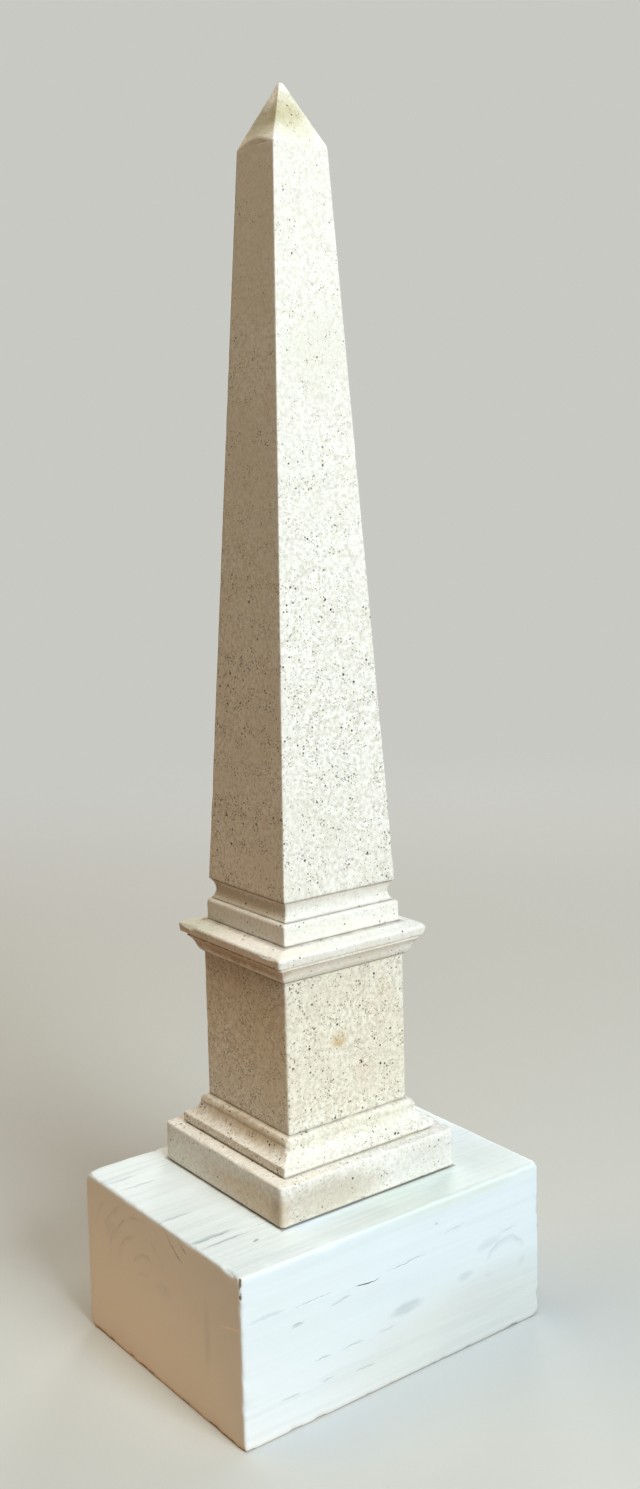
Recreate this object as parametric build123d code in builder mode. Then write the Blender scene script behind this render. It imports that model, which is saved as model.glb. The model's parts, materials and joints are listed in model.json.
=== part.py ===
from build123d import *
import os

# A tabletop obelisk of pale cast stone, standing on a squared offcut of painted timber.
# Millimetres, +Z up. The origin is the middle of the timber block's underside.
# +X runs along the block's long side and +Y across it.
# Every stone is square in plan and centred on one upright axis.

# timber block
block_length = 170.0
block_width = 136.0
block_height = 77.0
block_corner_radius = 3.0
block_edge_radius = 1.2

# where the stonework stands on the block, from the block's middle
stone_x = 2.5
stone_y = 6.0

# plinth
plinth_width = 100.0
plinth_height = 18.7
plinth_corner_radius = 2.6
plinth_top_radius = 0.9
plinth_foot_radius = 0.6

# bed of adhesive, set back under the base moulding
glue_setback = 1.4
glue_thickness = 0.6

# base moulding: upright fillet, hollow, then a small nose round the foot of the die
moulding_width = 86.8
fillet_height = 4.4
hollow_top_width = 74.4
hollow_height = 5.5
hollow_depth = 1.3
nose_top_width = 71.4
nose_height = 4.2
nose_bulge = 0.5

# die
die_width = 68.0
die_height = 70.9
die_arris_radius = 1.0

# cornice: bed mould under a fascia that leans out a little, with a weathered top
bed_width = 69.2
swell_width = 74.2
swell_height = 4.0
swell_bulge = 0.4
cove_width = 81.6
cove_height = 4.6
cove_depth = 0.35
fascia_soffit_rise = 1.2
fascia_width = 85.6
fascia_lean = 0.6
fascia_height = 4.2
weathering_rise = 2.1
cornice_top_width = 66.6

# arrises of the mouldings, where two faces of the stonework meet at a corner
moulding_arris_radius = 0.8

# foot of the shaft
foot_width = 65.7
foot_height = 10.1
foot_corner_radius = 1.2
foot_top_radius = 1.9

# neck: a hollow between the foot and the shaft
neck_waist_width = 58.6
neck_waist_rise = 4.5
neck_height = 9.1
neck_hollow_bow = 0.41

# shaft, tapering straight to the shoulders of its pointed top
shaft_bottom_width = 63.6
shoulder_width = 29.7
shoulder_rise = 337.4
point_rise = 28.8
tip_width = 2.0
shaft_arris_radius = 0.8
shaft_bottom_radius = 0.8
tip_radius = 0.6

# heights of the beds, each seated on the one below
glue_seat = block_height + plinth_height
moulding_seat = glue_seat + glue_thickness
die_seat = moulding_seat + fillet_height + hollow_height + nose_height
cornice_seat = die_seat + die_height
fascia_seat = cornice_seat + swell_height + cove_height + fascia_soffit_rise
foot_seat = fascia_seat + fascia_height + weathering_rise
neck_seat = foot_seat + foot_height
shaft_seat = neck_seat + neck_height
shoulder = shaft_seat + shoulder_rise
tip = shoulder + point_rise

# the neck runs between the flats that the foot's and the shaft's rounded arrises leave
neck_foot_width = foot_width - 2 * foot_top_radius
neck_head_width = shaft_bottom_width - 2 * shaft_bottom_radius

# planes through the stonework's axis: level, facing the front and facing the right
level = Plane(origin=(stone_x, stone_y, 0), x_dir=(1, 0, 0), z_dir=(0, 0, 1))
facing_front = Plane(origin=(stone_x, stone_y, 0), x_dir=(1, 0, 0), z_dir=(0, -1, 0))
facing_right = Plane(origin=(stone_x, stone_y, 0), x_dir=(0, 1, 0), z_dir=(1, 0, 0))

# a moulding is one section run along X and the same section run along Y, kept where they meet
section_runs = ((facing_front, Mode.ADD), (facing_right, Mode.INTERSECT))

os.makedirs("parts", exist_ok=True)

# timber block: a plain squared offcut with its edges eased
with BuildPart() as timber_block:
    with BuildSketch():
        RectangleRounded(block_length, block_width, block_corner_radius)
    extrude(amount=block_height)
    underside = timber_block.faces().sort_by(Axis.Z)[0]
    top = timber_block.faces().sort_by(Axis.Z)[-1]
    fillet(underside.edges() + top.edges(), block_edge_radius)
timber_block.part.label = "timber_block"
export_step(timber_block.part, "parts/timber_block.step")

# plinth: a square slab with rounded upright corners and softened edges
with BuildPart() as plinth:
    with BuildSketch(level.offset(block_height)):
        RectangleRounded(plinth_width, plinth_width, plinth_corner_radius)
    extrude(amount=plinth_height)
    fillet(plinth.faces().sort_by(Axis.Z)[0].edges(), plinth_foot_radius)
    fillet(plinth.faces().sort_by(Axis.Z)[-1].edges(), plinth_top_radius)
plinth.part.label = "plinth"
export_step(plinth.part, "parts/plinth.step")

# adhesive bed between the plinth and the base moulding
with BuildPart() as glue_bed:
    with BuildSketch(level.offset(glue_seat)):
        Rectangle(moulding_width - 2 * glue_setback, moulding_width - 2 * glue_setback)
    extrude(amount=glue_thickness)
glue_bed.part.label = "glue_bed"
export_step(glue_bed.part, "parts/glue_bed.step")

# base moulding: the fillet stands upright, the hollow curves in, the nose rolls up to the die
with BuildPart() as base_moulding:
    for plane, mode in section_runs:
        with BuildSketch(plane):
            with BuildLine():
                fillet_top = moulding_seat + fillet_height
                hollow_top = fillet_top + hollow_height
                Polyline(
                    (0, die_seat),
                    (0, moulding_seat),
                    (moulding_width / 2, moulding_seat),
                    (moulding_width / 2, fillet_top),
                )
                SagittaArc((moulding_width / 2, fillet_top), (hollow_top_width / 2, hollow_top), hollow_depth)
                SagittaArc((hollow_top_width / 2, hollow_top), (nose_top_width / 2, die_seat), -nose_bulge)
                Line((nose_top_width / 2, die_seat), (0, die_seat))
            make_face()
            mirror(about=Plane.YZ)
        extrude(amount=moulding_width, both=True, mode=mode)
    fillet(base_moulding.edges().filter_by(Axis.Z), moulding_arris_radius)
base_moulding.part.label = "base_moulding"
export_step(base_moulding.part, "parts/base_moulding.step")

# die: the plain upright body of the pedestal
with BuildPart() as die:
    with BuildSketch(level.offset(die_seat)):
        RectangleRounded(die_width, die_width, die_arris_radius)
    extrude(amount=die_height)
die.part.label = "die"
export_step(die.part, "parts/die.step")

# cornice: the bed mould swells then coves out to the fascia, and the top slopes up to the foot
with BuildPart() as cornice:
    for plane, mode in section_runs:
        with BuildSketch(plane):
            with BuildLine():
                swell_top = cornice_seat + swell_height
                cove_top = swell_top + cove_height
                fascia_top = fascia_seat + fascia_height
                Polyline((0, foot_seat), (0, cornice_seat), (bed_width / 2, cornice_seat))
                SagittaArc((bed_width / 2, cornice_seat), (swell_width / 2, swell_top), -swell_bulge)
                SagittaArc((swell_width / 2, swell_top), (cove_width / 2, cove_top), cove_depth)
                Polyline(
                    (cove_width / 2, cove_top),
                    (fascia_width / 2 - fascia_lean, fascia_seat),
                    (fascia_width / 2, fascia_top),
                    (cornice_top_width / 2, foot_seat),
                    (0, foot_seat),
                )
            make_face()
            mirror(about=Plane.YZ)
        extrude(amount=fascia_width, both=True, mode=mode)
    fascia_arrises = cornice.edges().filter_by_position(Axis.Z, fascia_seat, fascia_top, (False, False))
    fillet(fascia_arrises, moulding_arris_radius)
cornice.part.label = "cornice"
export_step(cornice.part, "parts/cornice.step")

# foot of the shaft: a square slab with a rounded top arris
with BuildPart() as shaft_foot:
    with BuildSketch(level.offset(foot_seat)):
        RectangleRounded(foot_width, foot_width, foot_corner_radius)
    extrude(amount=foot_height)
    fillet(shaft_foot.faces().sort_by(Axis.Z)[-1].edges(), foot_top_radius)
shaft_foot.part.label = "shaft_foot"
export_step(shaft_foot.part, "parts/shaft_foot.step")

# neck: a hollow, narrowest a little below its middle
with BuildPart() as neck:
    for plane, mode in section_runs:
        with BuildSketch(plane):
            with BuildLine():
                waist = (neck_waist_width / 2, neck_seat + neck_waist_rise)
                Polyline((0, shaft_seat), (0, neck_seat), (neck_foot_width / 2, neck_seat))
                SagittaArc((neck_foot_width / 2, neck_seat), waist, neck_hollow_bow)
                SagittaArc(waist, (neck_head_width / 2, shaft_seat), neck_hollow_bow)
                Line((neck_head_width / 2, shaft_seat), (0, shaft_seat))
            make_face()
            mirror(about=Plane.YZ)
        extrude(amount=neck_foot_width, both=True, mode=mode)
neck.part.label = "neck"
export_step(neck.part, "parts/neck.step")

# shaft: four straight tapering faces up to the shoulders, then four steeper ones to a blunt tip
with BuildPart() as shaft:
    for low, low_width, high, high_width in (
        (shaft_seat, shaft_bottom_width, shoulder, shoulder_width),
        (shoulder, shoulder_width, tip, tip_width),
    ):
        with BuildSketch(level.offset(low)):
            RectangleRounded(low_width, low_width, shaft_arris_radius)
        with BuildSketch(level.offset(high)):
            RectangleRounded(high_width, high_width, shaft_arris_radius)
        loft(ruled=True)
    fillet(shaft.faces().sort_by(Axis.Z)[0].edges(), shaft_bottom_radius)
    fillet(shaft.faces().sort_by(Axis.Z)[-1].edges(), tip_radius)
shaft.part.label = "shaft"
export_step(shaft.part, "parts/shaft.step")
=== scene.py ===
# %% [markdown]
# A tabletop obelisk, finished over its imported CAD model
#
# The real thing is an ornament of pale cast stone: crushed stone in resin, poured in moulds,
# piece by piece, and stuck together. It stands on an offcut of sawn timber, painted white.
# The CAD model already has every piece at its real size and place. This script loads it as a
# fixed frame, makes a finished mesh for each piece in the same place, and lights them.

# %% Load the frame
import bpy
import json
from math import cos, pi, radians, sin
from mathutils import Matrix, Vector, noise

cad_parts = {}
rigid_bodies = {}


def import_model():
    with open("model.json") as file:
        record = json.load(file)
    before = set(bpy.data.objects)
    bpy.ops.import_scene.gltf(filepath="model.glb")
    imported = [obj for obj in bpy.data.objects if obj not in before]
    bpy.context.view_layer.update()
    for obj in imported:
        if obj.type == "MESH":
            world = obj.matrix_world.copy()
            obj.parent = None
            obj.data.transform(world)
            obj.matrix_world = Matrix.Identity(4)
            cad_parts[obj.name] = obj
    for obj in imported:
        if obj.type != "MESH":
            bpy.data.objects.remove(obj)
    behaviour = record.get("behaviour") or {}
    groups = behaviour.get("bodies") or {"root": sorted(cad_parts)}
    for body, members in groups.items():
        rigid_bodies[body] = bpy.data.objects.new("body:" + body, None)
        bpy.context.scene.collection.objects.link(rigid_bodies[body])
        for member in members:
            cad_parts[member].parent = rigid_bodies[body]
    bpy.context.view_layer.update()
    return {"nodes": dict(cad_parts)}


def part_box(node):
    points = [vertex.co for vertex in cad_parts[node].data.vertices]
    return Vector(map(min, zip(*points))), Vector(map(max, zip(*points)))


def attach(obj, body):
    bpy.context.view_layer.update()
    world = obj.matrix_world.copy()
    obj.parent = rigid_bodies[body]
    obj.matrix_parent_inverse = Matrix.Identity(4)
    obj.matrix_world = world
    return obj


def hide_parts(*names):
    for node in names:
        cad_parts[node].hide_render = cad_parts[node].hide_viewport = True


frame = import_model()
MM = 0.001
print("CAD nodes:", sorted(frame["nodes"]))

# %% [markdown]
# Three small helpers carry the whole script. Colours are picked in sRGB, as a paint chart gives
# them, and Blender's sockets want linear light, so the first turns one into the other. The
# second adds a node to any tree, shader or geometry, with its settings and its links, which are
# given by the inputs' names or in their order. A shader node's kind is written without its first
# word, ShaderNode, and a kind that calculates has its operation behind it. What comes back is
# the output that carries the result: the one asked for by name, or else the first that is in
# use. A MapRange's inputs in order are its value, the range that it comes from and the range
# that it goes to, and inputs 6 and 7 of a Mix are its two colours. The third helper starts a
# material and sets the plain values of its surface.

# %% Helpers for colours, nodes and materials
def linear(hex_colour):
    parts = [int(hex_colour[i:i + 2], 16) / 255 for i in (0, 2, 4)]
    return (*[p / 12.92 if p <= 0.04045 else ((p + 0.055) / 1.055) ** 2.4 for p in parts], 1)


def node(tree, kind, inputs=(), out=None, **settings):
    kind, _, operation = kind.partition(" ")
    made = tree.nodes.new(kind if "Node" in kind else "ShaderNode" + kind)
    if operation:
        made.operation = operation
    for name, value in settings.items():
        setattr(made, name, value)
    for key, value in inputs.items() if isinstance(inputs, dict) else enumerate(inputs):
        if isinstance(value, bpy.types.NodeSocket):
            tree.links.new(value, made.inputs[key])
        else:
            made.inputs[key].default_value = value
    if out:
        return made.outputs[out]
    return next((socket for socket in made.outputs if socket.enabled), None)


def new_material(name, surface):
    material = bpy.data.materials.new(name)
    material.use_nodes = True
    shader = material.node_tree.nodes["Principled BSDF"]
    for key, value in surface.items():
        shader.inputs[key].default_value = value
    return material, material.node_tree, shader


print("cream in linear light:", [round(c, 3) for c in linear("E8E2D0")])

# %% [markdown]
# A pattern in a material needs a scale, and the only honest scale is a real size. Object
# coordinates are in metres here, so a pattern of cells so many millimetres wide repeats this
# many times a metre. Stains and marks sit at real places instead, each in a soft ellipse. Its
# coordinates are pushed about by noise first, because no stain has a clean edge.

# %% Pattern scales and marks from real sizes
def per_metre(millimetres):
    return 1000 / millimetres


def wobbled(tree, place, width, amount):
    drift = node(tree, "TexNoise", {"Vector": place, "Scale": per_metre(width), "Detail": 3.0}, "Color")
    centred = node(tree, "VectorMath SUBTRACT", (drift, (0.5, 0.5, 0.5)))
    push = node(tree, "VectorMath SCALE", {0: centred, "Scale": amount * MM})
    return node(tree, "VectorMath ADD", (place, push))


def ellipse(tree, place, centre, half_sizes, turn=(0.0, 0.0, 0.0), strength=1.0):
    local = node(tree, "Mapping", {"Vector": place, "Location": Vector(centre) * MM, "Rotation": turn,
                                   "Scale": Vector(half_sizes) * MM}, vector_type="TEXTURE")
    reach = node(tree, "VectorMath LENGTH", (local,))
    return node(tree, "MapRange", (reach, 1.0, 0.35, 0.0, strength), interpolation_type="SMOOTHSTEP")


print("grains 0.9 mm wide:", round(per_metre(0.9)), "a metre")

# %% [markdown]
# Cast stone: crushed limestone and sand in resin. The eye sees a matte cream body, cloudy over
# a few centimetres and mottled over a few millimetres. Each casting has its own coarseness,
# which the tree further on stores on its mesh, and from 0.30 m up the stone gets finer and a
# little duller.

# %% Cast stone: the body
stone, t, shader = new_material("cast_limestone_resin", {"Roughness": 0.82, "IOR": 1.5,
                                                         "Specular IOR Level": 0.35})
here = node(t, "TexCoord", out="Object")
cloud = node(t, "TexNoise", {"Vector": here, "Scale": per_metre(38), "Detail": 3.0})
mottle = node(t, "TexNoise", {"Vector": here, "Scale": per_metre(1.9), "Detail": 4.0, "Roughness": 0.65})
body = node(t, "ValToRGB", {"Fac": mottle})
stops = body.node.color_ramp.elements
for position, tint in ((0.34, "D1C6B6"), (0.50, "F0E9DC"), (0.63, "FFFCF4")):
    stops.new(position).color = linear(tint)
stops.remove(stops[0])
stops.remove(stops[-1])
height = node(t, "SeparateXYZ", {"Vector": here}, "Z")
thinning = node(t, "MapRange", (height, 0.30, 0.56, 0.0, 0.20))
graded = node(t, "Attribute", out="Fac", attribute_name="coarse")
coarse = node(t, "Math MULTIPLY_ADD", (thinning, -0.8, graded))
evened = node(t, "Mix", {"Factor": coarse, 6: linear("F5F0EA"), 7: body}, data_type="RGBA")
shade = node(t, "MapRange", (cloud, 0.38, 0.66, 0.0, 0.5))
shaded = node(t, "Math MULTIPLY_ADD", (thinning, 1.5, shade))
colour = node(t, "Mix", {"Factor": shaded, 6: evened, 7: linear("E8E0D0")}, data_type="RGBA")
print("nodes for the body:", len(t.nodes))

# %% [markdown]
# The body is full of grains, from fine silt to grit a millimetre wide, tan, brown and charcoal,
# each cut flush where the mould's face met it. A Voronoi texture gives every grain a cell of its
# own with a random colour. One channel decides how big the grain is, if there is one, and
# another how dark. Four such layers make four sizes of grain. A slow noise gathers them in
# patches some 7 mm wide, as stirring does. They thin out with height, but the pyramidion shows
# a few more again.

# %% Cast stone: the grains
patches = node(t, "TexNoise", {"Vector": here, "Scale": per_metre(7), "Detail": 2.0})
gathered = node(t, "MapRange", (patches, 0.35, 0.65, -0.25, 0.20))
on_point = node(t, "MapRange", (height, 0.552, 0.560, 0.0, 0.12))
more = node(t, "Math ADD", (gathered, on_point))
denser = node(t, "Math MULTIPLY_ADD", (coarse, 0.28, more))
sparse = node(t, "Math ADD", (thinning, 0.27))
fewer = node(t, "Math SUBTRACT", (sparse, denser))
grain_classes = (
    # cell width in mm, share of cells left empty, widest radius in cells, palest and darkest tint
    ("silt", 0.85, 0.36, 0.46, "B9B1A2", "4E473E"),
    ("sand", 1.70, 0.50, 0.32, "8E7F6A", "362D25"),
    ("specks", 2.7, 0.46, 0.26, "4A3D32", "1D1713"),
    ("grit", 5.6, 0.64, 0.165, "2A221C", "14110F"),
)
for name, cell, empty, radius, palest, darkest in grain_classes:
    cells = node(t, "TexVoronoi", {"Vector": here, "Scale": per_metre(cell)}).node.outputs
    chance = node(t, "SeparateColor", {"Color": cells["Color"]}).node.outputs
    odds = node(t, "Math SUBTRACT", (chance["Red"], fewer))
    reach = node(t, "MapRange", (odds, empty, 1.0, 0.0, radius))
    inside = node(t, "Math SUBTRACT", (reach, cells["Distance"]))
    opaque = node(t, "MapRange", (inside, 0.0, 0.08))
    seen = coarse if name == "silt" else 1.0
    cover = node(t, "Math MULTIPLY", (opaque, seen))
    tone = node(t, "Mix", {"Factor": chance["Green"], 6: linear(palest), 7: linear(darkest)},
                data_type="RGBA")
    colour = node(t, "Mix", {"Factor": cover, 6: colour, 7: tone}, data_type="RGBA")
print("sizes of grain:", [name for name, *_ in grain_classes])

# %% [markdown]
# Stains tint the body and its grains alike, so they multiply the colour: ochre and rust on the
# front of the die, lichen green on the pyramidion, a warmer cast on the die, and handling dirt
# on the plinth. Three of them are painted shade: under the cornice on its left, and over the
# hollow and roll of the base.

# %% Cast stone: stains and painted shade
blotch_place = wobbled(t, here, 4, 7.0)
stains_and_shade = (
    # centre, half sizes, tint, strength: places and sizes in mm from the frame's origin
    ((-2.8, -28, 148.6), (6.4, 4, 5.8), "F3E8D6", 0.90),
    ((-1.8, -28, 147.2), (4.4, 4, 3.4), "EEE0C8", 0.75), ((10.5, -28, 131), (7, 3, 8), "EFD0BC", 0.22),
    ((24, -28, 168), (5, 3, 9), "EFDCBA", 0.18), ((0, -3, 573), (13, 9, 17), "E4E0CE", 1.0),
    ((2, -3, 564), (22, 9, 18), "F3F2E6", 1.0), ((-9, 7, 568), (9, 18, 19), "CBC8B9", 1.0),
    ((0, -20, 145), (90, 70, 62), "FCF8EF", 1.0), ((-50.5, -30, 84), (9, 75, 13), "EEDFCC", 1.0),
    ((-28, -44, 84), (55, 14, 13), "DED8D0", 1.0), ((45, -44, 84), (50, 14, 13), "F0F0F2", 1.0),
    # painted shade: D7C8B4 under the cornice's left side, and E6DACC and F6F5EF over the hollow and roll of
    # the base
    ((-35, 6, 187), (8, 60, 4.5), "D7C8B4", 1.0), ((-35.5, 36, 196.2), (14, 28, 6), "EAEDE5", 1.0),
    ((-36.5, 6, 106.5), (8, 60, 5), "E6DACC", 1.0), ((2.5, -32.5, 106.5), (60, 8, 5), "F6F5EF", 1.0),
)
for centre, half_sizes, tint, strength in stains_and_shade:
    mask = ellipse(t, blotch_place, centre, half_sizes, strength=strength)
    colour = node(t, "Mix", {"Factor": mask, 6: colour, 7: linear(tint)}, data_type="RGBA",
                  blend_type="MULTIPLY")
print("stains:", len(stains_and_shade))

# %% [markdown]
# Dirt lies in the joints, most where the grains gather, and arrises are rubbed pale. The tree
# stores both as attributes. The coarsest grains, the last to be laid over the others, lie in
# shallow pits.

# %% Cast stone: dirt, wear and relief
grime = node(t, "Attribute", out="Fac", attribute_name="grime")
clinging = node(t, "MapRange", (patches, 0.3, 0.6, 0.45, 0.85))
darkened = node(t, "Math MULTIPLY", (grime, clinging))
colour = node(t, "Mix", {"Factor": darkened, 6: colour, 7: linear("6E5B47")}, data_type="RGBA")
worn = node(t, "Attribute", out="Fac", attribute_name="worn")
rubbed = node(t, "Math MULTIPLY", (worn, 0.6))
colour = node(t, "Mix", {"Factor": rubbed, 6: colour, 7: linear("F5F1E6")}, data_type="RGBA")
t.links.new(colour, shader.inputs["Base Color"])
texture = node(t, "Math SUBTRACT", (mottle, cover))
bump = node(t, "Bump", {"Height": texture, "Strength": 0.3, "Distance": 0.08 * MM})
t.links.new(bump, shader.inputs["Normal"])
print(stone.name, "has", len(t.nodes), "nodes")

# %% [markdown]
# Painted softwood: two thin coats of chalky white over sawn timber. The rings of the tree show
# through as grey lines. Wood is one solid pattern, so the rings are worked out in the solid, as
# the distance from the pith, a line along the block. They stand 8 mm apart by the pith and crowd
# together outwards, as they do in a tree that grows old. On the ends they are arcs, of which the
# paint shows a few in one corner, and on the sides and top long streaks, without any picture of
# wood. The material and the relief of the block's mesh both need them, so one function adds them
# to either kind of tree.

# %% The rings of the timber
# the pith's place across and up, then the rings' spacing, in mm
pith = (13.0, 39.0)
ring_spacing, crowding, crowd_from = 8.0, 0.0023, 40.0


def latewood(tree, place, early, late):
    lie = node(tree, "VectorMath MULTIPLY", (place, (0.12, 1.0, 1.0)))
    drift = node(tree, "TexNoise", {"Vector": lie, "Scale": per_metre(24), "Detail": 2.0})
    from_pith = node(tree, "VectorMath SUBTRACT", (place, (0.0, pith[0] * MM, pith[1] * MM)))
    across = node(tree, "VectorMath MULTIPLY", (from_pith, (0.0, 1.0, 1.0)))
    radius = node(tree, "VectorMath LENGTH", (across,))
    beyond = node(tree, "Math SUBTRACT", (radius, crowd_from * MM))
    outer = node(tree, "Math MAXIMUM", (beyond, 0.0))
    squared = node(tree, "Math POWER", (outer, 2.0))
    extra = node(tree, "Math MULTIPLY", (squared, crowding / MM ** 2))
    evenly = node(tree, "Math MULTIPLY_ADD", (radius, per_metre(ring_spacing), extra))
    bent = node(tree, "Math MULTIPLY_ADD", (drift, 1.6, evenly))
    phase = node(tree, "Math FRACT", (bent, 1.0))
    return node(tree, "MapRange", (phase, early, late), interpolation_type="SMOOTHSTEP")


print("rings near the edge:", round(1 / (1 / ring_spacing + 2 * crowding * (80 - crowd_from)), 1), "mm apart")

# %% [markdown]
# Marks on the timber are placed face by face, in millimetres along the face from its left end
# and down from its upper edge, just as they would be measured on the block with a rule.

# %% Places on the faces of the block
block_low, block_high = (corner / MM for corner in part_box("timber_block"))
faces = {
    # face: its upper left corner, then the directions along it and down it
    "side": (Vector((block_low.x, block_low.y, block_high.z)), Vector((1, 0, 0)), Vector((0, 0, -1))),
    "end": (Vector((block_low.x, block_high.y, block_high.z)), Vector((0, -1, 0)), Vector((0, 0, -1))),
    "top": (Vector((block_low.x, block_high.y, block_high.z)), Vector((1, 0, 0)), Vector((0, -1, 0))),
}


def on_face(face, along, down, out=0.0):
    corner, right, under = faces[face]
    return corner + right * along + under * down + under.cross(right) * out


def sized(face, along, down, deep):
    corner, right, under = faces[face]
    return [abs(c) for c in right * along + under * down + under.cross(right) * deep]


print("middle of the block's side:", on_face("side", 85, 38.5)[:])

# %% [markdown]
# The paint is thinnest over the hard latewood, so the rings show as bluish-grey streaks, broken
# up by the fibres that the brush followed. Of the ends only the left one shows rings, in its
# upper left, and the sides and top show streaks as well.

# %% Painted softwood: rings and streaks
paint, t, shader = new_material("chalk_painted_softwood", {"Roughness": 0.6, "IOR": 1.5,
                                                           "Specular IOR Level": 0.4})
here = node(t, "TexCoord", out="Object")
fibre_lie = node(t, "Mapping", {"Vector": here, "Scale": (0.035, 1.0, 1.0)})
fibres = node(t, "TexNoise", {"Vector": fibre_lie, "Scale": per_metre(2.2), "Detail": 4.0,
                              "Roughness": 0.65})
patchy = node(t, "TexNoise", {"Vector": fibre_lie, "Scale": per_metre(10), "Detail": 2.0})
thin = node(t, "MapRange", (patchy, 0.40, 0.66))
streak = node(t, "MapRange", (fibres, 0.46, 0.66))
facing = node(t, "SeparateXYZ", {"Vector": node(t, "TexCoord", out="Normal")}).node.outputs
endwise = node(t, "Math ABSOLUTE", (facing["X"],))
lengthwise = node(t, "Math SUBTRACT", (1.0, endwise))
on_end = ellipse(t, here, on_face("end", 40, 15), sized("end", 42, 25, 8))
shown = node(t, "Math MULTIPLY_ADD", (endwise, on_end, lengthwise))
ring = node(t, "Math MULTIPLY", (latewood(t, here, 0.62, 0.97), shown))
show_ring = node(t, "Math MULTIPLY", (ring, thin))
show_streak = node(t, "Math MULTIPLY", (streak, thin))
upward = node(t, "MapRange", (facing["Z"], 0.0, 1.0, 0.07, 0.28))
along_grain = node(t, "Math MULTIPLY", (show_streak, lengthwise))
both = node(t, "Math MAXIMUM", (show_ring, along_grain))
visible = node(t, "Math MULTIPLY_ADD", (endwise, 0.28, upward))
grey = node(t, "Math MULTIPLY", (both, visible))
print("nodes for rings and streaks:", len(t.nodes))

# %% [markdown]
# Each smudge and scratch that can be told apart has its own place, length and width, and the
# fibres break it up as they do the rings. All of them and the rings give one share of grey,
# which turns the white of the paint bluish grey, as wood looks through a thin coat. Two broad
# faint marks, on the right of the top and on the lower right of the side, are painted shade,
# and the one on the side stands for uneven paint as well.

# %% Painted softwood: marks, two of them painted shade
marks = (
    # face, along, down, length, width, all in mm, then strength and slant in degrees
    ("side", 88, 44, 26, 8, 0.30, 3), ("side", 123, 41, 12, 6, 0.28, 0), ("side", 106, 10, 3, 1.6, 0.5, 0),
    ("side", 28, 30, 9, 1.2, 0.55, 4), ("side", 51, 27, 15, 1.3, 0.60, 6),
    ("side", 41, 50, 11, 1.0, 0.40, 0), ("side", 57, 50, 17, 1.1, 0.45, 0),
    ("side", 76, 50, 13, 1.0, 0.40, 2), ("side", 24, 61, 15, 1.6, 0.50, 0),
    ("side", 43, 60.5, 11, 1.1, 0.45, 0), ("side", 64, 63, 16, 1.2, 0.40, 0),
    ("side", 138, 30, 22, 7, 0.20, 8), ("end", 108, 36, 7, 40, 0.14, 0), ("end", 72, 31, 18, 9, 0.10, 0),
    ("end", 24, 20, 16, 12, 0.12, 0), ("side", 12, 21, 26, 2.6, 0.30, 2), ("top", 10, 96, 34, 4.0, 0.80, 0),
    ("top", 14, 103, 30, 3.0, 0.65, 0), ("top", 8, 70, 26, 2.4, 0.65, 0), ("top", 12, 30, 26, 2.6, 0.60, 0),
    ("top", 9, 20, 20, 2.0, 0.55, 0), ("top", 24, 112, 5, 2.4, 0.80, 0), ("top", 38, 100, 26, 1.6, 0.45, 0),
    # broad and faint, the mark at 130, 105 on the top and the one at 150, 66 on the side are painted shade
    ("top", 40, 93, 22, 1.4, 0.35, 0), ("top", 130, 105, 150, 90, 0.14, 0),
    ("top", 67, 126, 74, 28, 0.26, 0), ("side", 150, 66, 130, 66, 0.14, 0),
)
smeared = wobbled(t, here, 5, 2.6)
for face, along, down, length, width, strength, slant in marks:
    outward = faces[face][2].cross(faces[face][1])
    mask = ellipse(t, smeared, on_face(face, along, down), sized(face, length / 2, width / 2, 3.0),
                   outward * radians(slant), strength)
    grey = node(t, "Math MAXIMUM", (grey, mask))
broken = node(t, "MapRange", (fibres, 0.30, 0.58, 0.25))
through = node(t, "Math MULTIPLY", (grey, broken))
colour = node(t, "Mix", {"Factor": through, 6: linear("ECF4F6"), 7: linear("8D99A1")}, data_type="RGBA")
print("marks:", len(marks))

# %% [markdown]
# By the right end of the side a knot shows as faint rings, broken where the paint lies thicker.
# The paint has yellowed low down on the side and on the top before the plinth, and the right end
# of the top is a little greyer, which is painted shade.

# %% Painted softwood: knot, toning and painted shade
knot = wobbled(t, here, 9, 5.0)
knot_place = node(t, "Mapping", {"Vector": knot, "Location": on_face("side", 148, 41) * MM,
                                 "Scale": (1.25, 8.0, 1.0)}, vector_type="TEXTURE")
knot_radius = node(t, "VectorMath LENGTH", (knot_place,))
knot_turns = node(t, "Math MULTIPLY", (knot_radius, per_metre(10.5)))
knot_phase = node(t, "Math FRACT", (knot_turns, 1.0))
knot_ring = node(t, "MapRange", (knot_phase, 0.7, 1.0))
knot_edge = node(t, "MapRange", (knot_radius, 13 * MM, 10 * MM, 0.0, 0.30))
knot_patchy = node(t, "Math MULTIPLY", (knot_edge, thin))
knot_shown = node(t, "Math MULTIPLY", (knot_ring, knot_patchy))
colour = node(t, "Mix", {"Factor": knot_shown, 6: colour, 7: linear("9AA3A6")}, data_type="RGBA")
toned = (
    # face, along, down, length, width, tint
    ("side", 125, 70, 210, 80, "FBF6EF"), ("top", 122, 122, 150, 90, "FAF8EE"),
    # the last is painted shade, greyer by the right end of the top
    ("top", 156, 60, 66, 170, "F4F3F1"),
)
for face, along, down, length, width, tint in toned:
    mask = ellipse(t, smeared, on_face(face, along, down), sized(face, length / 2, width / 2, 8.0))
    colour = node(t, "Mix", {"Factor": mask, 6: colour, 7: linear(tint)}, data_type="RGBA",
                  blend_type="MULTIPLY")
print("toned places:", len(toned))
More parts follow.
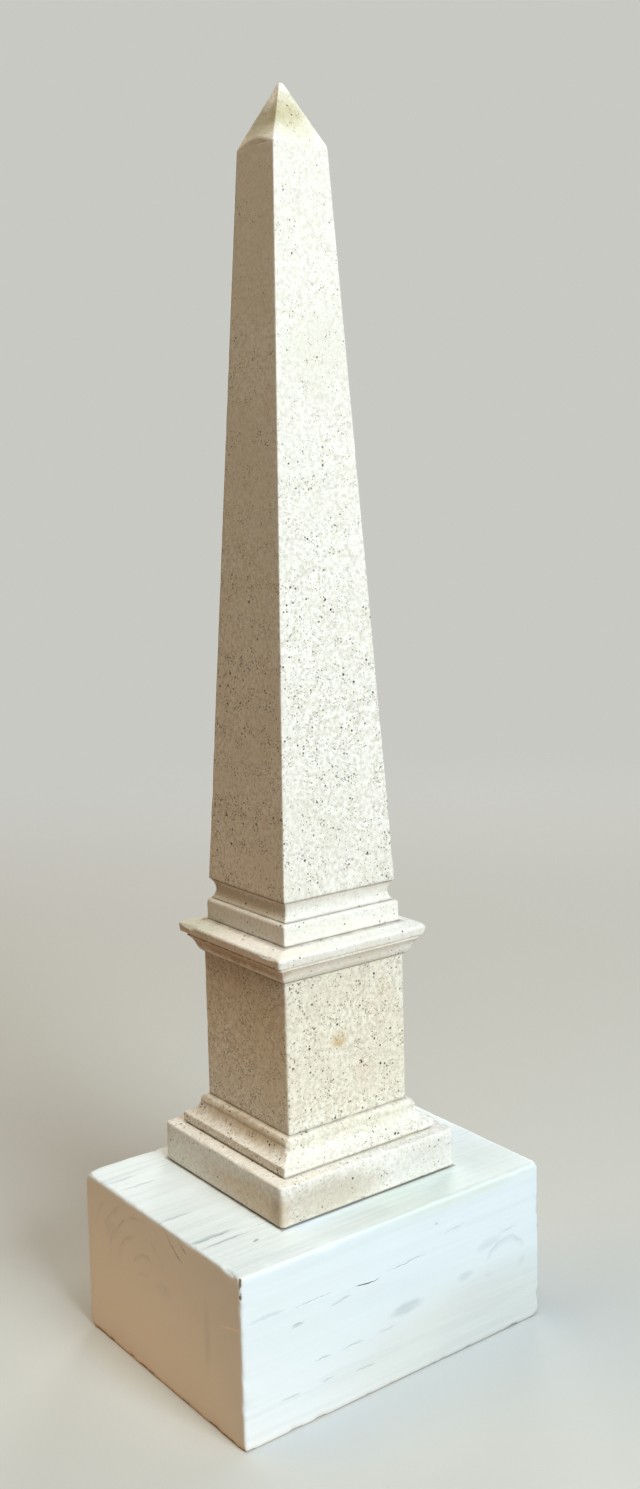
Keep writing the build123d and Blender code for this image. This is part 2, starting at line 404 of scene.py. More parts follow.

# %% [markdown]
# Within a millimetre of the plinth's foot the top of the block is darker: dirt, and painted
# contact shade. Paint lies thick and white along an old saw line on the end. Where the wear
# attribute says that an arris has been knocked bare, the wood shows brown.

# %% Painted softwood: dirt and painted shade, bare wood and relief
plinth_low, plinth_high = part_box("plinth")
from_axis = node(t, "VectorMath SUBTRACT", (here, (plinth_low + plinth_high) / 2))
out = node(t, "VectorMath ABSOLUTE", (from_axis,))
out = node(t, "SeparateXYZ", {"Vector": out}).node.outputs
furthest = node(t, "Math MAXIMUM", (out["X"], out["Y"]))
plinth_half = (plinth_high.x - plinth_low.x) / 2
# a darker band on the top within a millimetre of the plinth's foot: dirt, and painted contact shade
foot_dirt_and_shade = node(t, "MapRange", (furthest, plinth_half + 1.0 * MM, plinth_half + 0.2 * MM, 0.0, 0.6))
on_top = node(t, "Math GREATER_THAN", (facing["Z"], 0.9))
darkened = node(t, "Math MULTIPLY", (foot_dirt_and_shade, on_top))
colour = node(t, "Mix", {"Factor": darkened, 6: colour, 7: linear("6E5B47")}, data_type="RGBA")
filled = ellipse(t, here, on_face("end", 128, 25), sized("end", 12, 0.8, 3.0), (radians(-15), 0, 0), 1.0)
colour = node(t, "Mix", {"Factor": filled, 6: colour, 7: linear("FFFFFF")}, data_type="RGBA")
worn = node(t, "Attribute", out="Fac", attribute_name="worn")
bare = node(t, "MapRange", (worn, 1.2, 1.8))
colour = node(t, "Mix", {"Factor": bare, 6: colour, 7: linear("8C7760")}, data_type="RGBA")
t.links.new(colour, shader.inputs["Base Color"])
brush = node(t, "Math ADD", (fibres, ring))
bump = node(t, "Bump", {"Height": brush, "Strength": 0.25, "Distance": 0.15 * MM})
t.links.new(bump, shader.inputs["Normal"])
print(paint.name, "has", len(t.nodes), "nodes")

# %% [markdown]
# Where a drying check opens the timber, the paint has not reached the bottom: bare wood, painted far
# darker than the bare edges, as shade in the crack.
# And the bed of resin adhesive, gone yellow with age, is smoother and a little glossy.

# %% Bare wood and painted shade in the checks, and adhesive
bare_wood_and_crack_shade, t, shader = new_material("bare_softwood_with_painted_crack_shade", {"Roughness": 0.9})
here = node(t, "TexCoord", out="Object")
crack_noise = node(t, "TexNoise", {"Vector": here, "Scale": per_metre(1.5), "Detail": 2.0})
crack_colour = node(t, "ValToRGB", {"Fac": crack_noise})
# near black: bare wood darkened by painted shade in the crack
crack_colour.node.color_ramp.elements[0].color = linear("2C241E")
crack_colour.node.color_ramp.elements[1].color = linear("5E5146")
t.links.new(crack_colour, shader.inputs["Base Color"])

resin, t, shader = new_material("yellowed_resin_adhesive", {"Roughness": 0.38})
here = node(t, "TexCoord", out="Object")
age = node(t, "TexNoise", {"Vector": here, "Scale": per_metre(7), "Detail": 3.0})
tint = node(t, "ValToRGB", {"Fac": age})
for stop, position, shade in zip(tint.node.color_ramp.elements, (0.35, 0.65), ("8E7C4E", "C9BC8C")):
    stop.position = position
    stop.color = linear(shade)
t.links.new(tint, shader.inputs["Base Color"])
print("materials:", [m.name for m in (stone, paint, bare_wood_and_crack_shade, resin)])

# %% [markdown]
# Wear comes before the shapes, because every piece shares it. An arris is where a surface turns
# outwards. If each point is averaged with its neighbours, a flat stays put and an arris sinks
# inwards, so the sunk distance says how exposed a point is. The tree below moves the points
# part of that way, more where a noise pattern says that the piece was knocked, and keeps the
# amount as an attribute for the materials. Beds stay crisp: they were never out in the open. The
# trees for stone and for timber end in the same way, with this wear, smooth shading and the
# material, so one function adds that end.

# %% Geometry Nodes: worn arrises
def new_tree(name, sockets):
    tree = bpy.data.node_groups.new(name, "GeometryNodeTree")
    tree.is_modifier = True
    for label, kind in sockets:
        tree.interface.new_socket(label, in_out="INPUT", socket_type="NodeSocket" + kind)
    tree.interface.new_socket("Geometry", in_out="OUTPUT", socket_type="NodeSocketGeometry")
    return tree, node(tree, "NodeGroupInput").node.outputs


wear_sockets = (("Softening", "Float"), ("Knocks", "Float"), ("Knock Size", "Float"), ("Ripple", "Float"),
                ("Ripple Size", "Float"), ("Seed", "Float"))
wear_tree, given = new_tree("worn_arrises", (("Geometry", "Geometry"), ("Exposed", "Float"), *wear_sockets))
t = wear_tree
place = node(t, "GeometryNodeInputPosition")
outward = node(t, "GeometryNodeInputNormal")
offset_place = node(t, "CombineXYZ", {"X": given["Seed"], "Y": given["Seed"]})
pattern_place = node(t, "VectorMath ADD", (place, offset_place))
knock_scale = node(t, "Math DIVIDE", (1.0, given["Knock Size"]))
knock_noise = node(t, "TexNoise", {"Vector": pattern_place, "Scale": knock_scale, "Detail": 2.0})
knocked = node(t, "MapRange", (knock_noise, 0.54, 0.72))

# a little averaging finds the sharp arris, and a lot of it finds the whole corner
sunk = []
for rounds in (2, 14):
    average = node(t, "GeometryNodeBlurAttribute", {"Value": place, "Iterations": rounds},
                   data_type="FLOAT_VECTOR")
    step = node(t, "VectorMath SUBTRACT", (average, place))
    depth = node(t, "VectorMath DOT_PRODUCT", (step, outward))
    sunk.append(node(t, "Math MINIMUM", (depth, 0.0)))
softened = node(t, "Math MULTIPLY", (sunk[0], given["Softening"]))
knock = node(t, "Math MULTIPLY", (knocked, given["Knocks"]))
chipped = node(t, "Math MULTIPLY_ADD", (sunk[1], knock, softened))

# the ripple goes mostly inwards, because the noise is 0.5 on average and 0.6 comes off it
ripple_scale = node(t, "Math DIVIDE", (1.0, given["Ripple Size"]))
ripple_noise = node(t, "TexNoise", {"Vector": pattern_place, "Scale": ripple_scale, "Detail": 2.0})
centred = node(t, "Math SUBTRACT", (ripple_noise, 0.6))
rippled = node(t, "Math MULTIPLY_ADD", (centred, given["Ripple"], chipped))
shared = node(t, "Math MULTIPLY", (rippled, given["Exposed"]))
move = node(t, "VectorMath SCALE", {0: outward, "Scale": shared})

# the share of wear runs from 0 on a flat to 1 where half a millimetre or more has gone
share = node(t, "Math MULTIPLY", (chipped, -1 / (0.5 * MM)), use_clamp=True)
kept = node(t, "GeometryNodeStoreNamedAttribute", {"Geometry": given["Geometry"], "Name": "worn",
                                                   "Value": share})
moved = node(t, "GeometryNodeSetPosition", {"Geometry": kept, "Offset": move})
node(t, "NodeGroupOutput", {"Geometry": moved})


def wear_and_finish(tree, given, geometry, exposed, stored=()):
    worn = node(tree, "GeometryNodeGroup", {"Geometry": geometry, "Exposed": exposed}, node_tree=wear_tree)
    for label, _ in wear_sockets:
        tree.links.new(given[label], worn.node.inputs[label])
    for name, value in stored:
        worn = node(tree, "GeometryNodeStoreNamedAttribute", {"Geometry": worn, "Name": name,
                                                              "Value": value})
    smooth = node(tree, "GeometryNodeSetShadeSmooth", {"Geometry": worn})
    real = node(tree, "GeometryNodeRealizeInstances", {"Geometry": smooth})
    finished = node(tree, "GeometryNodeSetMaterial", {"Geometry": real, "Material": given["Material"]})
    node(tree, "NodeGroupOutput", {"Geometry": finished})


print(wear_tree.name, "has", len(t.nodes), "nodes")

# %% [markdown]
# Every stone is square in plan, and its shape follows one rule: an outline from the axis out and
# up, run round a square with rounded corners. The outline is drawn as a curve, and each of its
# points has a radius, which says how round the mould left that arris. The tree rounds them,
# cuts the outline into steps, and lays a grid over it: each row of the grid belongs to one step,
# and each column is a place along one of the four sides.

# %% Geometry Nodes: rows and columns of a square stone
stone_tree, given = new_tree("square_stone", (
    ("Geometry", "Geometry"), ("Row Height", "Float"), ("Columns", "Int"), ("Corner Radius", "Float"),
    ("Axis", "Vector"), ("Foot", "Float"), ("Head", "Float"), ("Bed Above", "Float"), ("Coarse", "Float"),
    ("Grime", "Float"), *wear_sockets, ("Material", "Material")))
t = stone_tree
arris = node(t, "GeometryNodeInputRadius")
rounded = node(t, "GeometryNodeFilletCurve", {"Curve": given["Geometry"], "Radius": arris, "Count": 4,
                                              "Limit Radius": True}, mode="POLY")
place = node(t, "GeometryNodeInputPosition")
index = node(t, "GeometryNodeInputIndex")
after = node(t, "Math ADD", (index, 1.0))
next_place = node(t, "GeometryNodeFieldAtIndex", {"Index": after, "Value": place}, data_type="FLOAT_VECTOR")
stretch = node(t, "VectorMath DISTANCE", (place, next_place))
cuts = node(t, "Math DIVIDE", (stretch, given["Row Height"]))
cuts = node(t, "Math FLOOR", (cuts,))
steps = node(t, "GeometryNodeSubdivideCurve", {"Curve": rounded, "Cuts": cuts})
rows = node(t, "GeometryNodeAttributeDomainSize", {"Geometry": steps}, component="CURVE")
around = node(t, "Math MULTIPLY_ADD", (given["Columns"], 4.0, 1.0))
grid = node(t, "GeometryNodeMeshGrid", {"Vertices X": around, "Vertices Y": rows})
column = node(t, "FunctionNodeIntegerMath DIVIDE_FLOOR", (index, rows))
row = node(t, "FunctionNodeIntegerMath MODULO", (index, rows))
side = node(t, "FunctionNodeIntegerMath DIVIDE_FLOOR", (column, given["Columns"]))
along = node(t, "FunctionNodeIntegerMath MODULO", (column, given["Columns"]))
print("nodes for rows and columns:", len(t.nodes))

# %% [markdown]
# Each row takes its half width and height from its step of the outline. The first and last rows
# have no width at all, so that the stone closes up at the axis. The place along the side runs
# from -1 to 1, and columns crowd towards both ends, where the shape turns.

# %% Geometry Nodes: width, height and place along the side
step = node(t, "GeometryNodeSampleIndex", {"Geometry": steps, "Value": place, "Index": row},
            data_type="FLOAT_VECTOR")
outline = node(t, "SeparateXYZ", {"Vector": step}).node.outputs
last = node(t, "Math SUBTRACT", (rows, 1.5))
above = node(t, "Math GREATER_THAN", (row, 0.5))
below = node(t, "Math LESS_THAN", (row, last))
open_row = node(t, "Math MULTIPLY", (above, below))
half = node(t, "Math MULTIPLY", (outline["X"], open_row))
fraction = node(t, "Math DIVIDE", (along, given["Columns"]))
spread = node(t, "Math MULTIPLY_ADD", (fraction, 2.0, -1.0))
size = node(t, "Math ABSOLUTE", (spread,))
from_end = node(t, "Math SUBTRACT", (1.0, size))
crowded = node(t, "Math POWER", (from_end, 1.6))
from_middle = node(t, "Math SUBTRACT", (1.0, crowded))
sign = node(t, "Math SIGN", (spread,))
signed = node(t, "Math MULTIPLY", (from_middle, sign))
sideways = node(t, "Math MULTIPLY", (signed, half))
print("nodes so far:", len(t.nodes))

# %% [markdown]
# A corner is an arc, a little rounder or sharper from one corner to the next: what lies past the
# flat of the side is set back to its radius. All this is worked out for the front. Then each
# point turns to its own side and moves to the stones' axis, and points that fall together are
# joined, which closes the mesh.

# %% Geometry Nodes: corners, and the grid wrapped round
nearest = node(t, "Math ADD", (side, fraction))
nearest = node(t, "Math ROUND", (nearest,))
corner = node(t, "Math MODULO", (nearest, 4.0))
dice = node(t, "Math MULTIPLY", (given["Seed"], 100.0))
chance = node(t, "FunctionNodeRandomValue", {2: 0.65, 3: 1.35, "ID": corner, "Seed": dice})
roundness = node(t, "Math MULTIPLY", (given["Corner Radius"], chance))
turn = node(t, "Math MINIMUM", (roundness, half))
flat = node(t, "Math SUBTRACT", (half, turn))
minus_flat = node(t, "Math MULTIPLY", (flat, -1.0))
capped = node(t, "Math MINIMUM", (sideways, flat))
held = node(t, "Math MAXIMUM", (capped, minus_flat))
past = node(t, "Math SUBTRACT", (sideways, held))
minus_turn = node(t, "Math MULTIPLY", (turn, -1.0))
towards = node(t, "CombineXYZ", {"X": past, "Y": minus_turn})
unit = node(t, "VectorMath NORMALIZE", (towards,))
arc = node(t, "VectorMath SCALE", {0: unit, "Scale": turn})
middle = node(t, "CombineXYZ", {"X": held, "Y": minus_flat, "Z": outline["Z"]})
on_front = node(t, "VectorMath ADD", (middle, arc))
angle = node(t, "Math MULTIPLY", (side, pi / 2))
turned = node(t, "VectorRotate", {"Vector": on_front, "Angle": angle}, rotation_type="Z_AXIS")
centred = node(t, "VectorMath ADD", (turned, given["Axis"]))
wrapped = node(t, "GeometryNodeSetPosition", {"Geometry": grid, "Position": centred})
closed = node(t, "GeometryNodeMergeByDistance", {"Geometry": wrapped, "Distance": 0.002 * MM})
print("nodes so far:", len(t.nodes))

# %% [markdown]
# Wear needs to know how far out in the open a point is: not at all in a bed, and fully 1.8 mm
# away from it. Dirt gathers in a joint, further up from a foot than down from a head. Then the
# wear goes on, and the mesh keeps the casting's coarseness and its dirt for the material.

# %% Geometry Nodes: wear and dirt of a square stone
level = node(t, "SeparateXYZ", {"Vector": place}, "Z")
over_foot = node(t, "Math SUBTRACT", (level, given["Foot"]))
under_head = node(t, "Math SUBTRACT", (given["Head"], level))
clear_foot = node(t, "MapRange", (over_foot, 0.1 * MM, 1.8 * MM))
clear_head = node(t, "MapRange", (under_head, 0.1 * MM, 1.8 * MM))
open_head = node(t, "Math SUBTRACT", (1.0, given["Bed Above"]))
free_head = node(t, "Math MAXIMUM", (clear_head, open_head))
exposed = node(t, "Math MULTIPLY", (clear_foot, free_head))
by_foot = node(t, "MapRange", (over_foot, 1.1 * MM, 0.45 * MM))
by_head = node(t, "MapRange", (under_head, 0.7 * MM, 0.2 * MM))
by_bed = node(t, "Math MULTIPLY", (by_head, given["Bed Above"]))
in_joint = node(t, "Math MAXIMUM", (by_foot, by_bed))
grimy = node(t, "Math MULTIPLY", (in_joint, given["Grime"]))
wear_and_finish(t, given, closed, exposed, (("coarse", given["Coarse"]), ("grime", grimy)))
print(stone_tree.name, "has", len(t.nodes), "nodes")

# %% [markdown]
# A tree works on an object through a modifier. The modifier's inputs are set by their socket's
# identifier, then the result is read once as a plain mesh, and the object that carried the
# modifier goes. A grid or box made by a node brings an empty material slot, which goes as well.

# %% Run a tree and keep its mesh
def run_tree(name, data, tree, inputs):
    carrier = bpy.data.objects.new(name + "_carrier", data)
    bpy.context.scene.collection.objects.link(carrier)
    modifier = carrier.modifiers.new(tree.name, "NODES")
    modifier.node_group = tree
    for item in tree.interface.items_tree:
        if item.in_out == "INPUT" and item.name in inputs:
            modifier[item.identifier] = inputs[item.name]
    evaluated = carrier.evaluated_get(bpy.context.evaluated_depsgraph_get())
    mesh = bpy.data.meshes.new_from_object(evaluated)
    bpy.data.objects.remove(carrier)
    for index in reversed(range(len(mesh.materials))):
        if mesh.materials[index] is None:
            mesh.materials.pop(index=index)
    mesh.name = name
    piece = bpy.data.objects.new(name, mesh)
    bpy.context.scene.collection.objects.link(piece)
    return piece


def outward_volume(mesh):
    mesh.calc_loop_triangles()
    corners = [v.co for v in mesh.vertices]
    return sum(corners[a].dot(corners[b].cross(corners[c])) for a, b, c in
               (tri.vertices for tri in mesh.loop_triangles)) / 6


print("ready to run", [tree.name for tree in bpy.data.node_groups])

# %% [markdown]
# The outlines. Each is a list of half width, height and arris radius in millimetres, from the
# bed up. Heights and main widths come from the CAD boxes. A bow is a shallow curve between two
# points, given by its points in between: the hollow and the roll of the base, the swell and the
# cove of the cornice, the two halves of the neck. The roll of the base stops short of the die
# at a narrow ledge, which catches the light, and a hairline stays open behind it. A quirk, a
# narrow groove, parts the cove from the fascia. Between two stones the joint is open by a hair
# at its lip, and that is what draws the thin dark lines.

# %% Outlines of the stones
def bow(start, end, bulge, steps=8):
    start, end = Vector(start), Vector(end)
    chord = end - start
    out = Vector((chord.y, -chord.x)).normalized()
    shares = [i / steps for i in range(1, steps)]
    return [(*(start + chord * s + out * bulge * 4 * s * (1 - s)), 0.0) for s in shares]


def span(name):
    low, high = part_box(name)
    return (high.x - low.x) / 2 / MM, low.z / MM, high.z / MM


# in mm: how far a bed is modelled inwards, and how deep and how wide its joint is open
bed_reach, joint_depth, joint_gap = 7.0, 1.1, 0.13


def joint(half, height, rise, radius, gap=joint_gap):
    """The points of an open joint: from the bed out to its lip, which stands a hair off the bed."""
    lip = height + rise * gap
    return [(half - bed_reach, height, 0.0), (half - joint_depth, lip, 0.0), (half, lip, radius)]


low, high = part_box("die")
axis = ((low.x + high.x) / 2, (low.y + high.y) / 2, 0.0)
outlines = {}

half, foot, head = span("plinth")
plinth_gap, bed_width = 0.4, 11.0
outlines["plinth"] = [*joint(half, foot, 1, 0.35, plinth_gap), (half, head, 0.8), (half - bed_width, head, 0)]

half, foot, head = span("base_moulding")
fillet_top, hollow_top, hollow_half = foot + 4.4, foot + 9.9, 37.2
roll_top, roll_half = foot + 13.2, 36.1
ledge_half, ledge_low, bed_half = 34.1, head - 0.25, 33.1
outlines["base_moulding"] = [
    *joint(half, foot, 1, 0.3), (half, fillet_top, 0.45),
    *bow((half, fillet_top), (hollow_half, hollow_top), -1.3), (hollow_half, hollow_top, 0.2),
    *bow((hollow_half, hollow_top), (roll_half, roll_top), 0.45), (roll_half, roll_top, 0.4),
    (ledge_half, ledge_low, 0.0), (bed_half, head, 0.0), (ledge_half - bed_reach, head, 0.0)]

half, foot, head = span("die")
die_gap = 0.06
outlines["die"] = [*joint(half, foot, 1, 0.2, die_gap), *reversed(joint(half, head, -1, 0.25))]

half, foot, head = span("cornice")
bed_half, swell_half, cove_half, quirk_half, fascia_half, top_half = 34.6, 37.1, 40.3, 39.4, 42.3, 33.3
swell_top, cove_top, quirk_low, quirk_high = foot + 4.0, foot + 8.0, foot + 8.4, foot + 9.4
fascia_foot, fascia_top = foot + 9.8, head - 2.1
outlines["cornice"] = [
    *joint(bed_half, foot, 1, 0.3),
    *bow((bed_half, foot), (swell_half, swell_top), 0.4)[1:], (swell_half, swell_top, 0.25),
    *bow((swell_half, swell_top), (cove_half, cove_top), -0.35), (cove_half, cove_top, 0.2),
    (quirk_half, quirk_low, 0.0), (quirk_half, quirk_high, 0.0),
    (fascia_half, fascia_foot, 0.4), (half, fascia_top, 1.3),
    (top_half, head - joint_gap, 0.0), (top_half - joint_depth, head - joint_gap, 0.0),
    (top_half - bed_reach, head, 0.0)]

half, foot, head = span("shaft_foot")
lip_width, bed_width = 3.6, 9.0
outlines["shaft_foot"] = [*joint(half, foot, 1, 0.15), (half, head - joint_gap, 1.6),
                          (half - lip_width, head - joint_gap, 0.0), (half - bed_width, head, 0.0)]

half, foot, head = span("neck")
waist_half, waist = 29.3, foot + 4.5
outlines["neck"] = [
    *joint(half, foot, 1, 0.1), *bow((half, foot), (waist_half, waist), -0.4)[1:], (waist_half, waist, 0.0),
    *bow((waist_half, waist), (half, head), -0.4)[:-1], *reversed(joint(half, head, -1, 0.1))]

half, foot, head = span("shaft")
shoulder_half, tip_half, point_rise = 14.85, 1.0, 28.8
outlines["shaft"] = [*joint(half, foot, 1, 0.8), (shoulder_half, head - point_rise, 0.7),
                     (tip_half, head, 0.7), (tip_half / 2, head, 0)]
for name, outline in outlines.items():
    print(f"{name}: {len(outline)} points, {outline[-1][1] - outline[0][1]:.1f} mm high")

# %% [markdown]
# How worn each stone is. The sizes are millimetres: the corner radius in plan, the height of a
# row of the mesh, and how far the surface ripples. Softening and knocks are shares of the sunk
# distance from the wear tree. Coarse is how much of the grain that casting shows, and grime how
# dark its joints are. A stone with a bed above keeps its top edge crisp as well. Knocks are some
# 9 mm wide and ripples some 7 mm, and 44 columns to a side are fine enough to hold both.

# %% Make the stones
finish = {
    # name: corner radius, row height, bed above, coarse, grime, softening, knocks, ripple, seed
    "plinth": (2.0, 0.6, 0, 0.60, 1.0, 0.7, 1.2, 0.35, 0.11),
    "base_moulding": (0.9, 0.5, 1, 0.70, 0.6, 0.5, 0.9, 0.25, 0.23),
    "die": (0.9, 0.6, 1, 0.95, 0.4, 0.5, 0.9, 0.16, 0.37),
    "cornice": (0.9, 0.45, 1, 0.45, 0.7, 0.4, 1.0, 0.20, 0.41),
    "shaft_foot": (1.1, 0.5, 1, 0.50, 0.3, 0.5, 0.8, 0.16, 0.53),
    "neck": (0.6, 0.5, 1, 0.50, 0.5, 0.3, 0.3, 0.10, 0.67),
    "shaft": (0.8, 1.0, 0, 0.92, 0.4, 0.5, 0.8, 0.18, 0.79),
}


def outline_curve(name, outline):
    curve = bpy.data.curves.new(name + "_outline", "CURVE")
    curve.dimensions = "3D"
    spline = curve.splines.new("POLY")
    spline.points.add(len(outline) - 1)
    for point, (out, up, radius) in zip(spline.points, outline):
        point.co = (out * MM, 0, up * MM, 1)
        point.radius = radius * MM
    return curve


pieces = {}
for name, (corner, row_height, bed_above, coarse, grime, softening, knocks, ripple, seed) in finish.items():
    half, foot, head = span(name)
    pieces[name] = run_tree("stone_" + name, outline_curve(name, outlines[name]), stone_tree, {
        "Row Height": row_height * MM, "Columns": 44, "Corner Radius": corner * MM, "Axis": axis,
        "Foot": foot * MM, "Head": head * MM, "Bed Above": float(bed_above), "Coarse": coarse, "Grime": grime,
        "Softening": softening, "Knocks": knocks, "Knock Size": 9 * MM, "Ripple": ripple * MM,
        "Ripple Size": 7 * MM, "Seed": seed, "Material": stone})
    mesh = pieces[name].data
    print(f"{name}: {len(mesh.vertices)} vertices, volume {outward_volume(mesh) / MM ** 3 / 1000:.1f} cm3")

# %% [markdown]
# Chips. Where a corner was struck, a piece of stone broke away along a rough, nearly flat face.
# Each strike is a place and the way that its broken face looks. What stands out past that face
# within reach is pushed back onto it, and small noise makes it rough.

# %% Strike the chips
def strike(piece, place, facing, reach=6.0, roughness=0.35, bare=0.0):
    place, facing = Vector(place) * MM, Vector(facing).normalized()
    wear = piece.data.attributes["worn"].data
    moved = 0
    for index, vertex in enumerate(piece.data.vertices):
        offset = vertex.co - place
        if offset.length < reach * MM:
            over = offset.dot(facing) - noise.noise(vertex.co * per_metre(1.8)) * roughness * MM
            if over > 0:
                vertex.co -= facing * over
                wear[index].value = max(wear[index].value, bare)
                moved += 1
    return moved


cornice_half, _, cornice_head = span("cornice")
base_head = span("base_moulding")[2]
centre = Vector(axis) / MM
strikes = (
    # piece, place from the stones' axis and height, way the broken face looks, reach
    ("cornice", (0.8 - cornice_half, 0.8 - cornice_half, cornice_head - 5.0), (-1.0, -1.0, -0.5), 4.0),
    ("cornice", (0.7 - cornice_half, 8.0 - cornice_half, cornice_head - 2.6), (-1.0, 0.1, 0.9), 4.5),
    ("cornice", (0.8 - cornice_half, cornice_half - 9.0, cornice_head - 3.0), (-1.0, -0.1, 0.7), 5.0),
    ("cornice", (cornice_half - 1.2, 1.2 - cornice_half, cornice_head - 4.0), (1.0, -1.0, 0.1), 6.0),
    ("cornice", (cornice_half - 1.6, 1.6 - cornice_half, cornice_head - 2.8), (1.0, -1.0, 1.2), 5.0),
    ("cornice", (cornice_half - 1.9, 1.9 - cornice_half, cornice_head - 5.6), (1.0, -1.0, -1.2), 4.0),
    ("plinth", (-49.2, -20.0, 95.2), (-1.0, 0.15, 1.0), 6.0),
    ("plinth", (-49.3, 18.0, 95.3), (-1.0, -0.1, 0.9), 6.0),
    ("base_moulding", (-36.2, -36.2, base_head - 2.4), (-1.0, -1.0, 0.3), 4.0),
)
for name, place, facing, reach in strikes:
    struck = Vector((centre.x + place[0], centre.y + place[1], place[2]))
    print(f"{name}: {strike(pieces[name], struck, facing, reach)} points pushed back")

# %% [markdown]
# The mould was a little full at the left shoulder. There the face of the shaft runs on past the
# shoulder line, furthest in its middle, and only then leans in to meet the point.

# %% Fill out the left shoulder
half, foot, head = span("shaft")
shoulder_height = head - point_rise
shaft_lean = (half - shoulder_half) / (shoulder_height - foot)
lean = (shoulder_half - tip_half) / point_rise - shaft_lean

# in mm: how far the face runs on, how high the bulge reaches, and how far in a point may lie to
# belong to the face, then the share of the face's width that bulges
runs_on, reach_up, skin, bulging = 3.2, 9.0, 0.5, 0.9
filled_out = 0
for vertex in pieces["shaft"].data.vertices:
    out = centre.x - vertex.co.x / MM
    across = (vertex.co.y / MM - centre.y) / shoulder_half
    rise = vertex.co.z / MM - shoulder_height
    if out > shoulder_half - reach_up * lean - skin and abs(across) < bulging and 0 < rise < reach_up:
        full = runs_on * (1 - (across / bulging) ** 2)
        steeper = reach_up * lean / (reach_up - full)
        gain = rise * lean - max(0.0, rise - full) * steeper
        vertex.co.x -= max(0.0, gain) * MM
        filled_out += 1
print(filled_out, "points of the left shoulder moved out")

# %% [markdown]
# The bed of adhesive is the same rule with a bulging outline and a coarse ripple, because it
# squeezed out unevenly before it set.

# %% Make the adhesive bed
half, foot, head = span("glue_bed")
glue_outline = [(half - bed_reach, foot, 0), (half, foot, 0.05), *bow((half, foot), (half, head), 0.7, 5),
                (half, head, 0.05), (half - bed_reach, head, 0)]
pieces["glue_bed"] = run_tree("adhesive_bed", outline_curve("glue_bed", glue_outline), stone_tree, {
    "Row Height": 0.2 * MM, "Columns": 60, "Corner Radius": 3 * MM, "Axis": axis, "Foot": foot * MM,
    "Head": head * MM, "Bed Above": 1.0, "Knock Size": 9 * MM, "Ripple": 16 * MM, "Ripple Size": 7 * MM,
    "Seed": 0.83, "Material": resin})
print("adhesive bed:", len(pieces["glue_bed"].data.vertices), "vertices")

# %% [markdown]
# The timber block is a plain box of the CAD's size, as the saw left it, laid with an even net
# fine enough for relief. The tree raises the latewood of the rings, most on the top, as weather
# and brush leave it, and leaves the sawn ends flat. Then it wears the edges round.

# %% Geometry Nodes: squared timber
timber_tree, given = new_tree("squared_timber", (
    ("Geometry", "Geometry"), ("Size", "Vector"), ("Middle", "Vector"), ("Net", "Float"), ("Relief", "Float"),
    *wear_sockets, ("Material", "Material")))
t = timber_tree
cells_along = node(t, "VectorMath DIVIDE", (given["Size"], given["Net"]))
counts = node(t, "SeparateXYZ", {"Vector": cells_along}).node.outputs
box = node(t, "GeometryNodeMeshCube", {"Size": given["Size"], "Vertices X": counts["X"],
                                       "Vertices Y": counts["Y"], "Vertices Z": counts["Z"]})
stood = node(t, "GeometryNodeSetPosition", {"Geometry": box, "Offset": given["Middle"]})
place = node(t, "GeometryNodeInputPosition")
outward = node(t, "GeometryNodeInputNormal")
hard = latewood(t, place, 0.5, 0.97)
ridge = node(t, "Math SUBTRACT", (hard, 1.0))
facing = node(t, "SeparateXYZ", {"Vector": outward}).node.outputs
share = node(t, "MapRange", (facing["Z"], 0.0, 1.0, 0.35))
endwise = node(t, "Math ABSOLUTE", (facing["X"],))
lengthwise = node(t, "Math SUBTRACT", (1.0, endwise))
share = node(t, "Math MULTIPLY", (share, lengthwise))
height = node(t, "Math MULTIPLY", (share, given["Relief"]))
raised = node(t, "Math MULTIPLY", (ridge, height))
move = node(t, "VectorMath SCALE", {0: outward, "Scale": raised})
grained = node(t, "GeometryNodeSetPosition", {"Geometry": stood, "Offset": move})
wear_and_finish(t, given, grained, 1.0)
print(timber_tree.name, "has", len(t.nodes), "nodes")

# %% [markdown]
# The block takes its size and its place from the CAD box. Its net is 1.1 mm wide, and the rings
# stand up by 0.16 mm at most. Softwood wears more easily than stone, so its edges are softened
# more, but they were only lightly knocked.

# %% Make the timber block
size = (block_high - block_low) * MM
middle = (block_low + block_high) / 2 * MM
start = bpy.data.meshes.new("timber_start")
pieces["timber_block"] = run_tree("painted_timber_block", start, timber_tree, {
    "Size": size[:], "Middle": middle[:], "Net": 1.1 * MM, "Relief": 0.16 * MM, "Softening": 0.9,
    "Knocks": 0.7, "Knock Size": 9 * MM, "Ripple": 0.4 * MM, "Ripple Size": 20 * MM, "Seed": 0.19,
    "Material": paint})
mesh = pieces["timber_block"].data
volume = outward_volume(mesh) / MM ** 3 / 1000
print("timber block:", len(mesh.polygons), "faces, volume", round(volume), "cm3")

# %% [markdown]
# Splinters have gone from the block's edges, and bare wood shows there. They are strikes like
# the chips in the stone, but the wear attribute is set past 1 with them, which the paint reads.
# Four corners were only bruised round, and there the paint has held.

